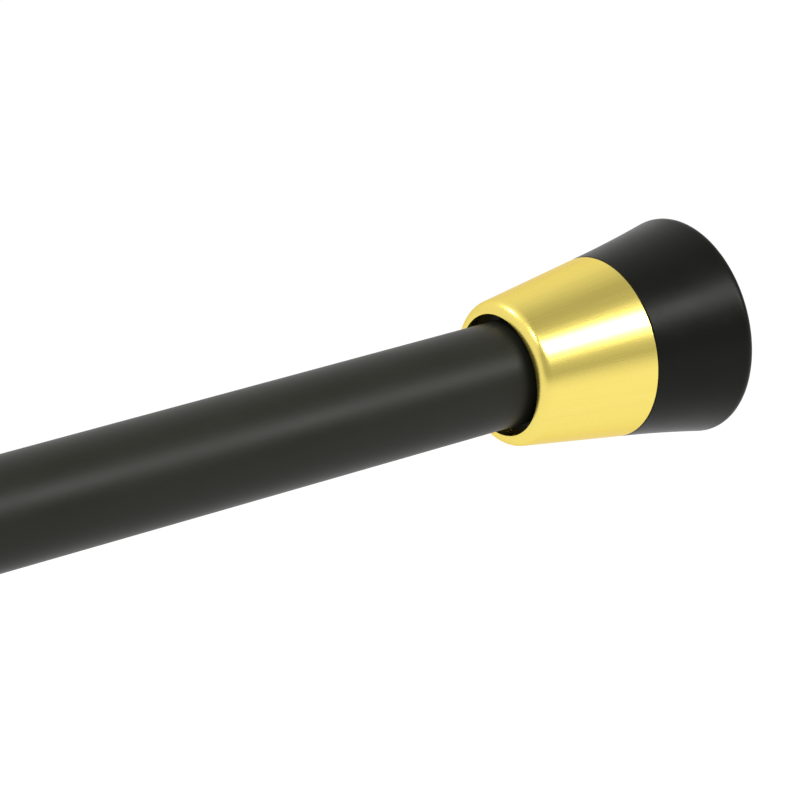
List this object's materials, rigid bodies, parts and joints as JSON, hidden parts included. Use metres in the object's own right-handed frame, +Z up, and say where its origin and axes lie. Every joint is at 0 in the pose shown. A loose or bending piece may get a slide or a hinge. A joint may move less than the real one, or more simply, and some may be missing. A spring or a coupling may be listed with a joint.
{
  "type": "shower curtain rod",
  "caption": "Spring tension curtain rod: telescoping black tubes with a twist lock inside, ending in satin gold cone collars and flared black rubber feet that press on facing walls.",
  "frame": {"origin": "centre of the wall face of the foot on the outer tube", "axes": "+X along the rod towards the foot on the inner tube, +Z up"},
  "size_m": [1.22, 0.0462, 0.0462],
  "materials": {
    "black_paint": "satin",
    "satin_gold": "satin",
    "black_rubber": "matte",
    "black_plastic": "matte",
    "pale_plastic": "satin",
    "zinc_steel": "satin"
  },
  "bodies": {
    "outer_section": {"outer_tube": "black_paint", "fixed_collar": "satin_gold", "fixed_foot": "black_rubber", "fixed_plug": "black_plastic", "mouth_bush": "black_plastic"},
    "glide": {"glide_ring": "pale_plastic"},
    "lock_plunger": {"plunger": "pale_plastic", "cam_washer": "zinc_steel", "cam_screw": "zinc_steel", "spring_washer": "zinc_steel"},
    "cam": {"lock_cam": "pale_plastic"},
    "inner_section": {"inner_tube": "black_paint", "free_collar": "satin_gold", "free_foot": "black_rubber", "free_plug": "black_plastic", "spring_stop": "pale_plastic", "spring": "zinc_steel"}
  },
  "joints": [
    {"name": "telescope", "type": "slide", "parent": "outer_section", "child": "glide", "axis": [1, 0, 0], "range_m": [-0.153, 0.609]},
    {"name": "twist", "type": "hinge", "parent": "glide", "child": "lock_plunger", "pos_m": [0.21785, 0, 0], "axis": [1, 0, 0], "continuous": true},
    {"name": "cam_swing", "type": "hinge", "parent": "lock_plunger", "child": "cam", "pos_m": [0.20555, 0, 0.003], "axis": [1, 0, 0], "range_deg": [-15, 15]},
    {"name": "spring_travel", "type": "slide", "parent": "lock_plunger", "child": "inner_section", "axis": [1, 0, 0], "range_m": [-0.03, 0], "stiffness_N_per_m": 5500, "deforming": ["spring"]}
  ]
}
